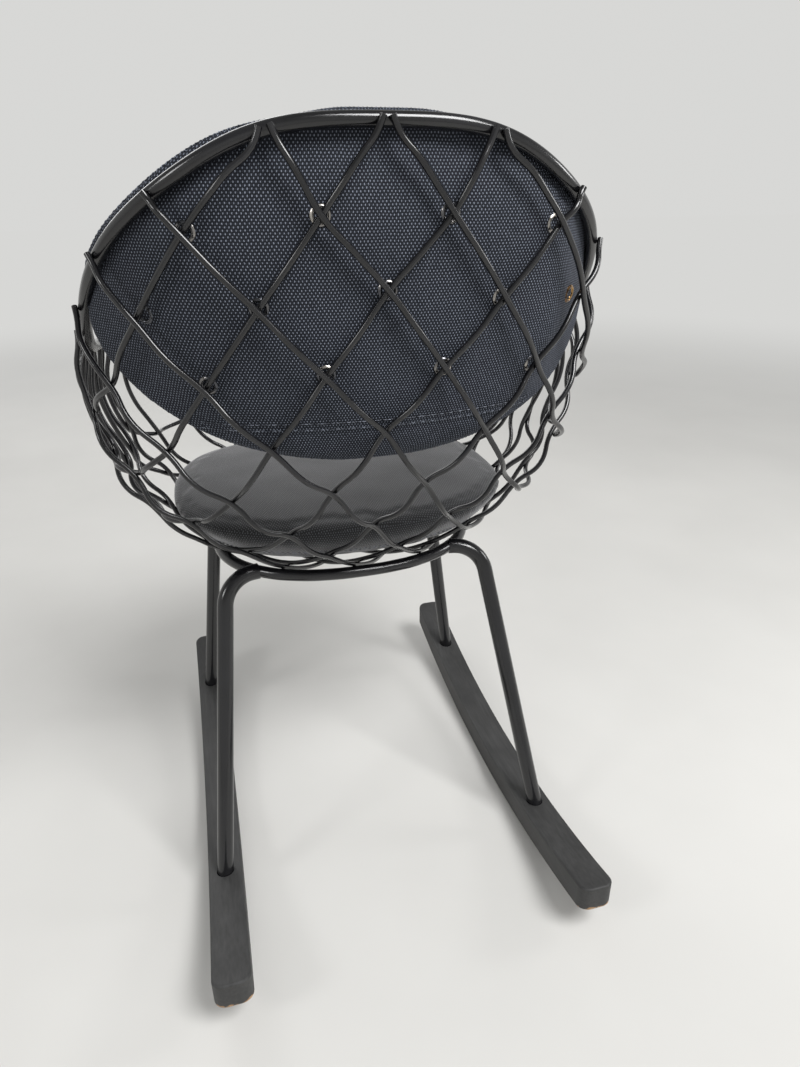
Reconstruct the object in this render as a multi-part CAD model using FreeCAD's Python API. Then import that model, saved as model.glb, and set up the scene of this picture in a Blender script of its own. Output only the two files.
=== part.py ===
import FreeCAD, Part
import math
import os

V = FreeCAD.Vector
os.makedirs("parts", exist_ok=True)

# Frame: millimetres, +Z up, the sitter faces -Y, X = 0 is the plane of symmetry.
# The origin is on the floor, below the lowest point of the rockers.

# Rockers: solid wood boards with concentric curved top and underside
TRACK = 400.0
ROCKER_W = 40.0
ROCKER_T = 32.0
ROCKER_R = 1211.0
ROCKER_HALF = 318.0
ROCKER_CORNER = 13.0
ROCKER_ROUND = 2.5

# Legs: bent steel tube from a socket in the rocker to a weld on the base ring
LEG_D = 19.0
LEG_WALL = 1.5
LEG_BEND_R = 40.0
LEG_SPLAY = 0.13
REAR_FOOT_Y = 152.0
REAR_RAKE = 0.397
FRONT_FOOT_Y = -215.0
FRONT_RAKE = -0.018
REAR_WELD_TURN = 0.89
FRONT_WELD_TURN = 2.4
SOCKET_DEPTH = 14.0
SOCKET_GAP = 0.75

# Leg fixings: a threaded plug in each tube end and a cap screw from below
PLUG_LENGTH = 22.0
PLUG_GAP = 0.02
SCREW_D = 8.0
SCREW_GAP = 0.3
SCREW_GRIP = 11.0
SCREW_ENGAGE = 18.0
SCREW_HEAD_D = 13.0
SCREW_HEAD_H = 5.0
SCREW_KEY_AF = 5.0
SCREW_KEY_DEPTH = 2.6
HEAD_RECESS_D = 15.0
DRILL_OVER = 40.0

# Base ring and rim hoop: round steel rod
RING_D = 14.0
RING_Z = 364.6
RIM_D = 12.0

# Basket lattice: two crossing families of round wire, welded at each crossing
WIRE_D = 5.5
WELD_BITE = 0.08
PITCH_INWARD = 78.6
PITCH_OUTWARD = 88.2
PITCH_TAPER_Z = 580.0
PITCH_TAPER_DEPTH = 110.0
PITCH_INWARD_TAPER = 0.0559
PITCH_OUTWARD_TAPER = 0.0745
COLUMN_PITCH = 127.8
COLUMN_START_Z = 699.5
OUTER_FIRST = -9
OUTER_LAST = 1
LAST_COLUMN = 6
ARM_END_Y = 8.0
ARM_END_PITCH = 33.0
ARM_END_GAP = 9.0
PAIR_GAP = 9.3
PAIR_DRAW = 0.87
PAIR_SPAN = 0.65
END_TURN = 0.8
WIRE_TIP = 3.0
BOW_LOW = 8.0
BOW_HIGH = 1.5
BOW_LOW_Z = 470.0
BOW_HIGH_Z = 700.0
BOW_FLAT_Z = 400.0

# Bowl that the lattice lies on: rounded sections that shrink below and above a belt
BELT_Z = 616.0
BELT_HALF_W = 275.0
BELT_BACK = 224.5
BELT_FRONT = 299.0
BELT_MID_Y = -39.6
BOWL_RAKE = 0.175
BOWL_DROP = 286.0
BOWL_DROP_POWER = 2.2
BOWL_RISE = 610.0
BOWL_RISE_POWER = 1.59
SECTION_POWER = 2.23
SECTION_POWER_UP = 0.00408
SECTION_POWER_DOWN = 0.00038

# Rim line seen from the side: steep top, raked back, nearly level arms, low front
TOP_Y = 196.1
TOP_SLOPE = 3.55
TOP_SOFT = 24.0
BACK_SLOPE = 0.694
KNEE_Y = -24.9
KNEE_Z = 628.5
KNEE_SOFT = 14.8
ARM_SLOPE = 0.056
FRONT_Y = -235.0
FRONT_SLOPE = 2.4
FRONT_SOFT = 40.0

# Back cushion: an oval pad that follows the inside of the bowl
BACK_PAD_Z = 679.3
BACK_PAD_SIDE_IN = 7.0
BACK_PAD_UP = 153.8
BACK_PAD_DOWN = 142.1
BACK_PAD_SEAM_IN = 24.0
BACK_PAD_REAR = 17.53
BACK_PAD_FRONT = 24.0
BACK_PAD_FULLNESS = 3.0
BACK_PAD_ROUND = 0.5
BACK_PAD_WALL_FADE = 2.0
BACK_PAD_LEVELS = (-0.988, -0.93, -0.8, -0.55, -0.2, 0.2, 0.55, 0.8, 0.93, 0.988)
BACK_PAD_SPREAD = (-1.0, -0.93, -0.6, 0.0, 0.6, 0.93)
BACK_PAD_RIM_GAP = 0.8
BACK_PAD_RIM_NEAR = 12.0
BACK_PAD_RIM_FAR = 40.0
ZIP_Z = 580.0
ZIP_H = 8.0
ZIP_HALF_L = 150.0

# Seat cushion: a loose round pad with a flatter front edge
SEAT_PAD_BOTTOM = 389.0
SEAT_PAD_EDGE = 433.0
SEAT_PAD_TOP = 446.0
SEAT_PAD_SIDE_IN = 59.0
SEAT_PAD_REAR_IN = 100.9
SEAT_PAD_FRONT_IN = 74.6
SEAT_PAD_GAP = 0.8
SEAT_PAD_TUCK = 6.0
SEAT_PAD_CROWN = 120.0
SEAT_PAD_SIDE = ((1.0, 0.0), (0.25, 0.08), (0.0, 0.25), (0.0, 0.5), (0.0, 0.75), (0.0, 1.0))
SEAT_PAD_DOME = ((0.05, 0.4), (0.2, 0.68), (0.42, 0.86), (0.7, 0.96), (1.0, 1.0))
SEAT_PAD_REAR_POWER = 2.25
SEAT_PAD_FRONT_POWER = 2.7

# Cushion make-up
COVER_T = 2.0
FOAM_GAP = 0.05

# Eyelets in the back of the back cushion, behind the upper weld points
EYELET_D = 17.0
EYELET_HOLE = 10.4
EYELET_T = 1.2
EYELET_BITE = 0.05

WIRE_STEP = 0.5 * (WIRE_D - WELD_BITE)
RIM_IN = WIRE_STEP + 0.5 * (WIRE_D + RIM_D) - WELD_BITE
RING_OUT = WIRE_STEP + 0.5 * (WIRE_D + RING_D) - WELD_BITE
WIRES_IN = WIRE_STEP + 0.5 * WIRE_D


def export(name, shape):
    shape.exportStep("parts/" + name + ".step")


def mirror_x(shape):
    return shape.mirror(V(0, 0, 0), V(1, 0, 0))


def unit(v):
    return v * (1.0 / v.Length)


def soft_ramp(u, width):
    return 0.5 * (u + math.sqrt(u * u + width * width))


def bisect(fn, low, high):
    f_low = fn(low)
    for _ in range(60):
        mid = 0.5 * (low + high)
        f_mid = fn(mid)
        if (f_mid > 0) == (f_low > 0):
            low, f_low = mid, f_mid
        else:
            high = mid
    return 0.5 * (low + high)


# The bowl surface

def section_scale(z):
    if z < BELT_Z:
        d = ((BELT_Z - z) / BOWL_DROP) ** BOWL_DROP_POWER
    else:
        d = ((z - BELT_Z) / BOWL_RISE) ** BOWL_RISE_POWER
    return math.sqrt(max(1e-9, 1.0 - d))


def section_power(z):
    if z < BELT_Z:
        return SECTION_POWER + SECTION_POWER_DOWN * (BELT_Z - z)
    return SECTION_POWER + SECTION_POWER_UP * (z - BELT_Z)


def section_mid(z):
    return BELT_MID_Y + BOWL_RAKE * (z - BELT_Z)


def bowl_value(p):
    n = section_power(p.z)
    y = p.y - section_mid(p.z)
    half = BELT_BACK if y > 0 else BELT_FRONT
    r = (abs(p.x / BELT_HALF_W) ** n + abs(y / half) ** n + 1e-15) ** (1.0 / n)
    return r - section_scale(p.z)


def bowl_gradient(p):
    h = 0.05
    gx = bowl_value(p + V(h, 0, 0)) - bowl_value(p - V(h, 0, 0))
    gy = bowl_value(p + V(0, h, 0)) - bowl_value(p - V(0, h, 0))
    gz = bowl_value(p + V(0, 0, h)) - bowl_value(p - V(0, 0, h))
    return V(gx, gy, gz) * (0.5 / h)


def normal(p):
    return unit(bowl_gradient(p))


def onto_bowl(p):
    for _ in range(12):
        g = bowl_gradient(p)
        p = p - g * (bowl_value(p) / g.dot(g))
    return p


def bowl_point(turn, z):
    n = section_power(z)
    s, c = math.sin(turn), math.cos(turn)
    half = BELT_BACK if c > 0 else BELT_FRONT
    rho = section_scale(z) / (abs(s / BELT_HALF_W) ** n + abs(c / half) ** n) ** (1.0 / n)
    return V(rho * s, section_mid(z) + rho * c, z)


def bowl_back_y(x, z):
    n = section_power(z)
    s = section_scale(z)
    u = max(0.0, s ** n - abs(x / BELT_HALF_W) ** n)
    return section_mid(z) + BELT_BACK * u ** (1.0 / n)


def bowl_side_x(y, z):
    n = section_power(z)
    v = y - section_mid(z)
    half = BELT_BACK if v > 0 else BELT_FRONT
    return BELT_HALF_W * max(0.0, section_scale(z) ** n - abs(v / half) ** n) ** (1.0 / n)


def rim_height(y):
    arm = KNEE_Z + ARM_SLOPE * (y - KNEE_Y)
    back = (BACK_SLOPE - ARM_SLOPE) * soft_ramp(y - KNEE_Y, KNEE_SOFT)
    top = (TOP_SLOPE - BACK_SLOPE) * soft_ramp(y - TOP_Y, TOP_SOFT)
    front = FRONT_SLOPE * soft_ramp(FRONT_Y - y, FRONT_SOFT)
    return arm + back + top - front


def below_rim(p):
    return rim_height(p.y) - p.z


# Rods along chains of tangent arcs

def arc_edge(p, t, q):
    chord = q - p
    c = unit(chord)
    side = t - c * t.dot(c)
    if side.Length < 1e-5:
        return Part.makeLine(p, q)
    half = 0.5 * math.atan2(side.Length, t.dot(c))
    mid = p + chord * 0.5 + unit(side) * (0.5 * chord.Length * math.tan(half))
    return Part.Arc(p, mid, q).toShape()


def biarc(p, tp, q, tq):
    v = q - p
    a = 2.0 * (tp.dot(tq) - 1.0)
    b = -2.0 * v.dot(tp + tq)
    c = v.dot(v)
    if abs(a) < 1e-9:
        d = -c / b
    else:
        d = (-b - math.sqrt(b * b - 4.0 * a * c)) / (2.0 * a)
    d = abs(d)
    joint = ((p + tp * d) + (q - tq * d)) * 0.5
    t_joint = unit((q - tq * d) - (p + tp * d))
    return [arc_edge(p, tp, joint), arc_edge(joint, t_joint, q)]


def chain(points, tangents):
    edges = []
    for i in range(len(points) - 1):
        edges += biarc(points[i], tangents[i], points[i + 1], tangents[i + 1])
    return edges


def loop_tangents(points):
    n = len(points)
    return [unit(points[(i + 1) % n] - points[i - 1]) for i in range(n)]


def rod(edges, diameter, start, direction):
    section = Part.Wire([Part.makeCircle(0.5 * diameter, start, direction)])
    return Part.Wire(edges).makePipeShell([section], True, True)


def closed_rod(half_points, diameter):
    # The path crosses the plane of symmetry square at both ends
    tangents = [V(1, 0, 0)]
    for i in range(1, len(half_points) - 1):
        tangents.append(unit(half_points[i + 1] - half_points[i - 1]))
    tangents.append(V(-1, 0, 0))
    half = rod(chain(half_points, tangents), diameter, half_points[0], tangents[0])
    return half.fuse(mirror_x(half)).removeSplitter()


# Rim hoop and base ring

def rim_line(turn):
    z = bisect(lambda h: below_rim(bowl_point(turn, h)), 380.0, 900.0)
    return bowl_point(turn, z)


def rim_point(turn):
    p = rim_line(turn)
    return p - normal(p) * RIM_IN


def ring_point(turn):
    def level(h):
        p = bowl_point(turn, h)
        return (p + normal(p) * RING_OUT).z - RING_Z
    p = bowl_point(turn, bisect(level, BELT_Z - BOWL_DROP + 4.0, BELT_Z))
    p = p + normal(p) * RING_OUT
    return V(p.x, p.y, RING_Z)


def half_turns(count):
    return [math.pi * i / count for i in range(count + 1)]


rim_half = [rim_point(t) for t in half_turns(36)]
rim_half[0].x = 0.0
rim_half[-1].x = 0.0
rim = closed_rod(rim_half, RIM_D)
export("rim_hoop", rim)

ring_half = [ring_point(t) for t in half_turns(12)]
ring_half[0].x = 0.0
ring_half[-1].x = 0.0
ring = closed_rod(ring_half, RING_D)
export("base_ring", ring)


# Weld points of the lattice: each is one pitch from its two inner neighbours

def centre_points():
    start = V(0, bowl_back_y(0, COLUMN_START_Z), COLUMN_START_Z)
    points = {1: start}
    heading = math.radians(-92.0)
    for k in range(2, 14):
        points[k], heading = next_centre(points[k - 1], heading)
    heading = math.radians(90.0)
    for k in range(0, -6, -1):
        points[k], heading = next_centre(points[k + 1], heading)
    return points


def next_centre(p, heading):
    def off_surface(angle):
        return bowl_value(p + V(0, math.cos(angle), math.sin(angle)) * COLUMN_PITCH)
    angle = bisect(off_surface, heading - 1.1, heading + 1.1)
    return p + V(0, math.cos(angle), math.sin(angle)) * COLUMN_PITCH, angle


def weld_point(p, q, guess):
    # Newton steps to the point on the bowl at the span lengths from p (above) and q (below)
    below = min(PITCH_TAPER_DEPTH, max(0.0, PITCH_TAPER_Z - 0.5 * (p.z + q.z)))
    from_p = PITCH_OUTWARD - PITCH_OUTWARD_TAPER * below
    from_q = PITCH_INWARD - PITCH_INWARD_TAPER * below
    r = guess
    for _ in range(40):
        g = bowl_gradient(r)
        u, v = r - p, r - q
        m = FreeCAD.Matrix(
            g.x, g.y, g.z, 0,
            2 * u.x, 2 * u.y, 2 * u.z, 0,
            2 * v.x, 2 * v.y, 2 * v.z, 0,
            0, 0, 0, 1)
        if abs(m.determinant()) < 1e-6:
            return None
        step = m.inverse().multVec(V(bowl_value(r), u.dot(u) - from_p ** 2, v.dot(v) - from_q ** 2))
        if step.Length < 1e-7:
            return r
        if step.Length > 30.0:
            step = unit(step) * 30.0
        r = r - step
    return None


def lattice():
    # Keys are (outer wire, inner wire); the mirror of (a, b) is (-b, -a)
    nodes = {}
    for k, p in centre_points().items():
        nodes[(-k, k)] = p
    for col in range(1, 14):
        for a in range(-14, 15):
            b = col - a
            inner = (nodes.get((a, b - 1)), nodes.get((a - 1, b)))
            if inner[0] is None or inner[1] is None:
                continue
            middle = (inner[0] + inner[1]) * 0.5
            before = nodes.get((a - 1, b - 1))
            guess = inner[0] + inner[1] - before if before else onto_bowl(middle + V(45.0, 0, 0))
            p = weld_point(inner[0], inner[1], guess)
            if p is not None and p.x > middle.x - 20.0 and 300.0 < p.z < 1100.0:
                nodes[(a, b)] = p
    for (a, b), p in list(nodes.items()):
        nodes[(-b, -a)] = V(-p.x, p.y, p.z)
    return nodes


nodes = lattice()


def turn_of(p):
    return math.atan2(p.x, p.y - section_mid(p.z))


def rim_crossing(inside, outside):
    # Point on the rim line between a weld point and the next one beyond the rim. Where that one
    # is close above the top of the rim, its two wires end side by side instead of crossing
    def height(s):
        return below_rim(onto_bowl(inside + (outside - inside) * s))
    p = onto_bowl(inside + (outside - inside) * bisect(height, 0.0, 1.0))
    if abs(turn_of(outside)) > PAIR_SPAN:
        return p
    turn = PAIR_DRAW * turn_of(outside)
    apart = 0.5 * PAIR_GAP / (p - V(0, section_mid(p.z), p.z)).Length
    return rim_line(turn + math.copysign(apart, turn_of(inside) - turn))


def rim_up(p):
    # Direction on the bowl square to the rim line
    slope = rim_height(p.y + 0.5) - rim_height(p.y - 0.5)
    n = normal(p)
    across = V(0, -slope, 1)
    return unit(across - n * across.dot(n))


def arm_end(place, shift):
    # Point on the rim of the left arm; the wires end there in pairs at even spacing
    y = ARM_END_Y - place * ARM_END_PITCH + shift * 0.5 * ARM_END_GAP
    z = rim_height(y)
    return V(bowl_side_x(y, z), y, z)


def is_weld(key):
    a, b = key
    return below_rim(nodes[key]) > 0 and abs(a + b) <= LAST_COLUMN and -OUTER_LAST <= b <= -OUTER_FIRST


def bow(z):
    # Outward bow of a span: strong in the lower bowl, slight on the back, none on the ring
    if z < BOW_FLAT_Z:
        return 0.0
    rise = min(1.0, max(0.0, (z - BOW_LOW_Z) / (BOW_HIGH_Z - BOW_LOW_Z)))
    start = min(1.0, (z - BOW_FLAT_Z) / (BOW_LOW_Z - BOW_FLAT_Z))
    return start * (BOW_LOW + (BOW_HIGH - BOW_LOW) * rise)


def wire_path(outer):
    # Surface points of one wire from rim to rim, with its offset at each
    welds = sorted(k for k in nodes if k[0] == outer and is_weld(k))
    first, last = welds[0], welds[-1]
    if outer + first[1] == -LAST_COLUMN:
        p = arm_end(-outer - LAST_COLUMN + OUTER_LAST, -1.0)
        start = V(-p.x, p.y, p.z)
    else:
        start = rim_crossing(nodes[first], nodes[(outer, first[1] - 1)])
    if outer >= OUTER_LAST - LAST_COLUMN:
        end = arm_end(OUTER_LAST + 1 - outer, 1.0)
    else:
        end = rim_crossing(nodes[last], nodes[(outer, last[1] + 1)])
    path = [(nodes[k], WIRE_STEP) for k in welds]
    return [(start, -WIRE_STEP)] + path + [(end, -WIRE_STEP)]


def wire_points(path, side):
    points, tangents = [], []
    surface = [p for p, _ in path]
    count = len(surface)
    for i in range(count):
        p, offset = path[i]
        n = normal(p)
        ahead = unit(surface[min(i + 1, count - 1)] - surface[max(i - 1, 0)])
        if i in (0, count - 1):
            ahead = ahead + rim_up(p) * (END_TURN if i else -END_TURN)
        points.append(p + n * (offset * side if i not in (0, count - 1) else offset))
        tangents.append(unit(ahead - n * ahead.dot(n)))
        if i < count - 1:
            q = surface[i + 1]
            m = onto_bowl((p + q) * 0.5)
            n = normal(m)
            level = 0.5 * (path[i][1] + path[i + 1][1])
            points.append(m + n * (level * side + bow(m.z)))
            along = q - p
            tangents.append(unit(along - n * along.dot(n)))
    return points, tangents


def lattice_wire(path, side):
    points, tangents = wire_points(path, side)
    start = points[0] - tangents[0] * WIRE_TIP
    end = points[-1] + tangents[-1] * WIRE_TIP
    edges = [Part.makeLine(start, points[0])]
    edges += chain(points, tangents)
    edges.append(Part.makeLine(points[-1], end))
    return rod(edges, WIRE_D, start, tangents[0])


for outer in range(OUTER_FIRST, OUTER_LAST + 1):
    path = wire_path(outer)
    number = "%02d" % (outer - OUTER_FIRST + 1)
    export("inner_wire_" + number, lattice_wire(path, -1.0))
    flipped = [(V(-p.x, p.y, p.z), offset) for p, offset in path]
    export("outer_wire_" + number, lattice_wire(flipped, 1.0))


# Rockers, legs and their fixings

def rocker_top(y):
    return ROCKER_R - math.sqrt((ROCKER_R - ROCKER_T) ** 2 - y * y)


def rocker_blank():
    reach = ROCKER_HALF + 60.0
    x = 0.5 * TRACK
    disc = Part.makeCylinder(ROCKER_R, ROCKER_W, V(x - 0.5 * ROCKER_W, 0, ROCKER_R), V(1, 0, 0))
    core = Part.makeCylinder(ROCKER_R - ROCKER_T, ROCKER_W, V(x - 0.5 * ROCKER_W, 0, ROCKER_R), V(1, 0, 0))
    plan = Part.makeBox(ROCKER_W, 2 * ROCKER_HALF, reach, V(x - 0.5 * ROCKER_W, -ROCKER_HALF, -1))
    upright = [e for e in plan.Edges if abs(e.tangentAt(e.FirstParameter).z) > 0.9]
    plan = plan.makeFillet(ROCKER_CORNER, upright)
    board = disc.cut(core).common(plan)
    long_edges = [e for e in board.Edges if not is_upright(e)]
    return board.makeFillet(ROCKER_ROUND, long_edges)


def is_upright(edge):
    a, b = edge.Vertexes[0].Point, edge.Vertexes[-1].Point
    return abs(a.z - b.z) > 0.8 * ROCKER_T and abs(a.y - b.y) < 0.6 * ROCKER_T


def leg_axis(rake):
    return unit(V(-LEG_SPLAY, -rake, 1.0))


def leg_solids(foot_y, rake, weld_turn):
    up = leg_axis(rake)
    foot = V(0.5 * TRACK, foot_y, rocker_top(foot_y))
    base = foot - up * SOCKET_DEPTH
    corner = foot + up * ((RING_Z - foot.z) / up.z)
    weld = ring_point(weld_turn)
    out = unit(weld - corner)
    tangent = LEG_BEND_R * math.tan(0.5 * up.getAngle(out))
    p, q = corner - up * tangent, corner + out * tangent
    edges = [Part.makeLine(base, p), arc_edge(p, up, q), Part.makeLine(q, weld)]
    tube = rod(edges, LEG_D, base, up).cut(rod(edges, LEG_D - 2 * LEG_WALL, base, up)).cut(ring)
    tube = max(tube.Solids, key=lambda s: s.Volume)
    grip = base - up * SCREW_GRIP
    socket = Part.makeCylinder(0.5 * LEG_D + SOCKET_GAP, SOCKET_DEPTH + DRILL_OVER, base, up)
    shank = Part.makeCylinder(0.5 * SCREW_D + SCREW_GAP, 2 * DRILL_OVER, base - up * DRILL_OVER, up)
    recess = Part.makeCylinder(0.5 * HEAD_RECESS_D, DRILL_OVER, grip - up * DRILL_OVER, up)
    plug = Part.makeCylinder(0.5 * LEG_D - LEG_WALL - PLUG_GAP, PLUG_LENGTH, base, up)
    plug = plug.cut(Part.makeCylinder(0.5 * SCREW_D, PLUG_LENGTH, base, up))
    head = Part.makeCylinder(0.5 * SCREW_HEAD_D, SCREW_HEAD_H, grip - up * SCREW_HEAD_H, up)
    body = Part.makeCylinder(0.5 * SCREW_D, SCREW_GRIP + SCREW_ENGAGE, grip, up)
    key = Part.makeCylinder(0.5 * SCREW_KEY_AF, SCREW_KEY_DEPTH, grip - up * SCREW_HEAD_H, up)
    screw = head.fuse(body).removeSplitter().cut(key)
    return tube, plug, screw, socket.fuse(shank).fuse(recess)


rocker = rocker_blank()
plugs, screws = [], []
for place, foot_y, rake, turn in (("rear", REAR_FOOT_Y, REAR_RAKE, REAR_WELD_TURN),
                                  ("front", FRONT_FOOT_Y, FRONT_RAKE, FRONT_WELD_TURN)):
    tube, plug, screw, drilling = leg_solids(foot_y, rake, turn)
    rocker = rocker.cut(drilling)
    plugs += [plug, mirror_x(plug)]
    screws += [screw, mirror_x(screw)]
    export("leg_" + place + "_left", tube)
    export("leg_" + place + "_right", mirror_x(tube))
export("rocker_left", rocker)
export("rocker_right", mirror_x(rocker))
export("leg_plugs", Part.makeCompound(plugs))
export("leg_screws", Part.makeCompound(screws))


# Cushions: lofts through closed chains of arcs

def section_wire(points):
    tangents = loop_tangents(points)
    return Part.Wire(chain(points + points[:1], tangents + tangents[:1]))


def loft(sections):
    return Part.makeLoft(sections, True, False, False, 3)


def back_pad_depths(p, share, inset):
    # Depths of the rear and front face below the bowl; the rear makes room for the rim
    near = (BACK_PAD_RIM_FAR - below_rim(p)) / (BACK_PAD_RIM_FAR - BACK_PAD_RIM_NEAR)
    near = min(1.0, max(0.0, near))
    rim_seat = RIM_IN + 0.5 * RIM_D + BACK_PAD_RIM_GAP
    least = BACK_PAD_SEAM_IN - BACK_PAD_REAR
    least += (rim_seat - least) * near * near * (3.0 - 2.0 * near)
    rear = min(BACK_PAD_REAR * share, BACK_PAD_SEAM_IN - least)
    wall = inset * min(1.0, BACK_PAD_WALL_FADE * share)
    return BACK_PAD_SEAM_IN - rear + wall, BACK_PAD_SEAM_IN + BACK_PAD_FRONT * share - wall


def back_pad(inset):
    sections = []
    up, down = BACK_PAD_UP - inset, BACK_PAD_DOWN - inset
    for level in BACK_PAD_LEVELS:
        z = BACK_PAD_Z + level * (up if level > 0 else down)
        full = math.sqrt(1.0 - level * level)
        half = (BELT_HALF_W - BACK_PAD_SIDE_IN - inset) * full
        points = []
        for face, spread in ((0, BACK_PAD_SPREAD), (1, [-u for u in BACK_PAD_SPREAD])):
            for u in spread:
                p = V(half * u, bowl_back_y(half * u, z), z)
                share = (full * (1.0 - abs(u) ** BACK_PAD_FULLNESS)) ** BACK_PAD_ROUND
                n = normal(p)
                flat = unit(V(n.x, n.y, 0))
                points.append(p - flat * (back_pad_depths(p, share, inset)[face] / n.dot(flat)))
        sections.append(section_wire(points))
    return loft(sections)


def seated_back_pad(inset):
    # The rim presses a groove into the pad
    groove = closed_rod(rim_half, RIM_D + 2.0 * (BACK_PAD_RIM_GAP + inset))
    return back_pad(inset).cut(groove).Solids[0]


def inside_wires(p, axis, inset):
    # Pull a point towards an axis until the lattice is clear of it
    def over(share):
        q = axis + (p - axis) * share
        return bowl_value(q) / bowl_gradient(q).Length + WIRES_IN + SEAT_PAD_GAP + inset
    return p if over(1.0) < 0 else axis + (p - axis) * bisect(over, 0.2, 1.0)


def seat_outline(inset, tuck, z):
    half_w = BELT_HALF_W - SEAT_PAD_SIDE_IN - inset - tuck
    rear = BELT_MID_Y + BELT_BACK - SEAT_PAD_REAR_IN
    front = BELT_MID_Y - BELT_FRONT + SEAT_PAD_FRONT_IN
    half_y = 0.5 * (rear - front) - inset - tuck
    axis = V(0, 0.5 * (rear + front), z)
    points = []
    for i in range(12):
        t = math.pi * i / 6.0
        power = 2.0 / (SEAT_PAD_REAR_POWER if math.cos(t) > 0 else SEAT_PAD_FRONT_POWER)
        x = half_w * math.copysign(abs(math.sin(t)) ** power, math.sin(t))
        y = half_y * math.copysign(abs(math.cos(t)) ** power, math.cos(t))
        points.append(inside_wires(axis + V(x, y, 0), axis, inset + tuck))
    return section_wire(points)


def seat_pad(inset):
    bottom, edge, top = SEAT_PAD_BOTTOM + inset, SEAT_PAD_EDGE, SEAT_PAD_TOP - inset
    rise = edge - bottom
    crown = top - edge
    sides = [(tuck * SEAT_PAD_TUCK, bottom + share * rise) for tuck, share in SEAT_PAD_SIDE]
    dome = [(tuck * SEAT_PAD_CROWN, edge + share * crown) for tuck, share in SEAT_PAD_DOME]
    lower = loft([seat_outline(inset, tuck, z) for tuck, z in sides])
    upper = loft([seat_outline(inset, tuck, z) for tuck, z in sides[-1:] + dome])
    return lower.fuse(upper).removeSplitter()


def cover_and_foam(pad):
    outer = pad(0.0)
    cover = outer.cut(pad(COVER_T))
    return outer, cover, pad(COVER_T + FOAM_GAP)


back_outer, back_cover, back_foam = cover_and_foam(seated_back_pad)
zip_corner = V(-ZIP_HALF_L, section_mid(ZIP_Z), ZIP_Z - 0.5 * ZIP_H)
zip_band = Part.makeBox(2 * ZIP_HALF_L, BELT_BACK, ZIP_H, zip_corner)
zip_strip = back_cover.common(zip_band)
zip_strip = max(zip_strip.Solids, key=lambda s: s.BoundBox.YMax)
export("back_cushion_zip", zip_strip)
export("back_cushion_cover", back_cover.cut(zip_strip))
export("back_cushion_foam", back_foam)

seat_outer, seat_cover, seat_foam = cover_and_foam(seat_pad)
export("seat_cushion_cover", seat_cover)
export("seat_cushion_foam", seat_foam)


# Eyelets on the back cushion, one behind each upper weld point

EYELET_KEYS = ((-1, 0), (0, 1), (-2, -1), (1, 2), (-2, 0), (0, 2), (-3, -1), (1, 3),
               (-3, 0), (0, 3), (-2, 1), (-1, 2), (-1, 1))


def eyelet(key):
    p = nodes[key]
    n = normal(p)
    probe = Part.makeLine(p, p - n * 60.0)
    hit = back_outer.common(probe)
    seat = min((v.Point for v in hit.Vertexes), key=lambda q: (q - p).Length)
    seat = seat - n * EYELET_BITE
    ring_body = Part.makeCylinder(0.5 * EYELET_D, EYELET_T, seat, n)
    return ring_body.cut(Part.makeCylinder(0.5 * EYELET_HOLE, EYELET_T, seat, n))


export("back_cushion_eyelets", Part.makeCompound([eyelet(k) for k in EYELET_KEYS]))
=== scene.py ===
"""Looks of a rocking armchair: a wire basket on tube legs and wooden rockers, with two cushions."""
import logging
import math
from dataclasses import dataclass, field
from enum import Enum
from typing import Any, Sequence

import bpy
import numpy as np
from mathutils import Matrix, Vector, noise


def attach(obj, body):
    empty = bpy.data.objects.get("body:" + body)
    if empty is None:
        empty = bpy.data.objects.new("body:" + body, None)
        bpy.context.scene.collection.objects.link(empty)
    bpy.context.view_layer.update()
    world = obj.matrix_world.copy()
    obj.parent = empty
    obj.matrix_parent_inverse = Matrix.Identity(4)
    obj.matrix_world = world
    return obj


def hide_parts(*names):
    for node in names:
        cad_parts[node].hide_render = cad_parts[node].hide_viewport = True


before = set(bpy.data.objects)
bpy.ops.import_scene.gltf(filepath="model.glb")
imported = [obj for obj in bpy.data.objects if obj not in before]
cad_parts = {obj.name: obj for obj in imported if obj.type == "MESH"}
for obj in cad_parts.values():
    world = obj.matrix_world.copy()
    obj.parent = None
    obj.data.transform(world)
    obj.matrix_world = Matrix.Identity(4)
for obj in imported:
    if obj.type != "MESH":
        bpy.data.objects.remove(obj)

LOG = logging.getLogger("rocking_armchair")
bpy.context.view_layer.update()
MM = 0.001
MERGE = 0.00002
SMOOTH_ANGLE = math.radians(50)
STITCH_SINK = 0.9
# Bands of a wave texture along one metre at scale 1
WAVE_BANDS = 20 / (2 * math.pi)


class Body(Enum):
    """The rigid bodies of the chair."""

    FRAME = "frame"
    SEAT_CUSHION = "seat_cushion"


class Layout(Enum):
    """How the weave is laid over a cushion."""

    WRAPPED_BACK = "wrapped_back"
    ROUND_SEAT = "round_seat"


def linear(code: str) -> tuple[float, float, float, float]:
    """Turn an sRGB hex colour into linear RGBA.

    Args:
        code: Colour such as "#1a1b1f".

    Returns:
        Linear red, green and blue, with alpha 1.
    """
    shares = [int(code[i:i + 2], 16) / 255 for i in (1, 3, 5)]
    r, g, b = [s / 12.92 if s <= 0.04045 else ((s + 0.055) / 1.055) ** 2.4 for s in shares]
    return (r, g, b, 1.0)


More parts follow.
